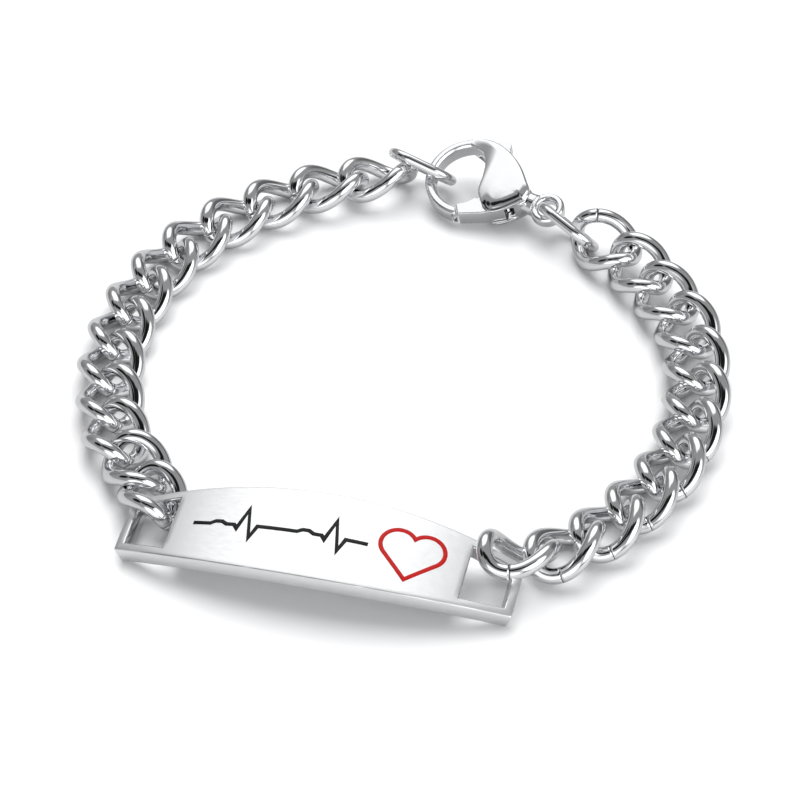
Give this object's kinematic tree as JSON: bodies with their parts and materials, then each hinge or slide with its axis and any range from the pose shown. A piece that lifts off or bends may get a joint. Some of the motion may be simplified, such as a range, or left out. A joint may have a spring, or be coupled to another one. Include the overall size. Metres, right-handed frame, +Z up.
{
  "type": "medical alert bracelet",
  "caption": "Steel curb-chain bracelet lying closed, with an arched identity plate slotted at both ends and a lobster clasp with a sprung lever.",
  "frame": {"origin": "middle of the bracelet's outline on the table it lies on", "axes": "+Z up from the table, +X along the plate, +Y from the plate to the clasp"},
  "size_m": [0.0769, 0.0779, 0.0068],
  "materials": {
    "steel": "polished stainless steel",
    "plate_steel": "satin stainless steel with polished edges"
  },
  "bodies": {
    "bracelet": {"id_plate": "plate_steel", "link_l01": "steel", "link_l02": "steel", "link_l03": "steel", "link_l04": "steel", "link_l05": "steel", "link_l06": "steel", "link_l07": "steel", "link_l08": "steel", "link_l09": "steel", "link_l10": "steel", "link_l11": "steel", "link_l12": "steel", "link_l13": "steel", "link_l14": "steel", "link_r01": "steel", "link_r02": "steel", "link_r03": "steel", "link_r04": "steel", "link_r05": "steel", "link_r06": "steel", "link_r07": "steel", "link_r08": "steel", "link_r09": "steel", "link_r10": "steel", "link_r11": "steel", "link_r12": "steel", "clasp_link": "steel", "clasp_body": "steel", "clasp_pin": "steel"},
    "lever": {"clasp_lever": "steel"}
  },
  "joints": [
    {"name": "clasp_lever", "type": "hinge", "parent": "bracelet", "child": "lever", "pos_m": [0.00508, 0.0305, 0.00301], "axis": [0.1057, 0.3253, -0.9397], "range_deg": [0, 16], "stiffness_Nm_per_rad": 0.002, "springref_deg": -5.73}
  ]
}
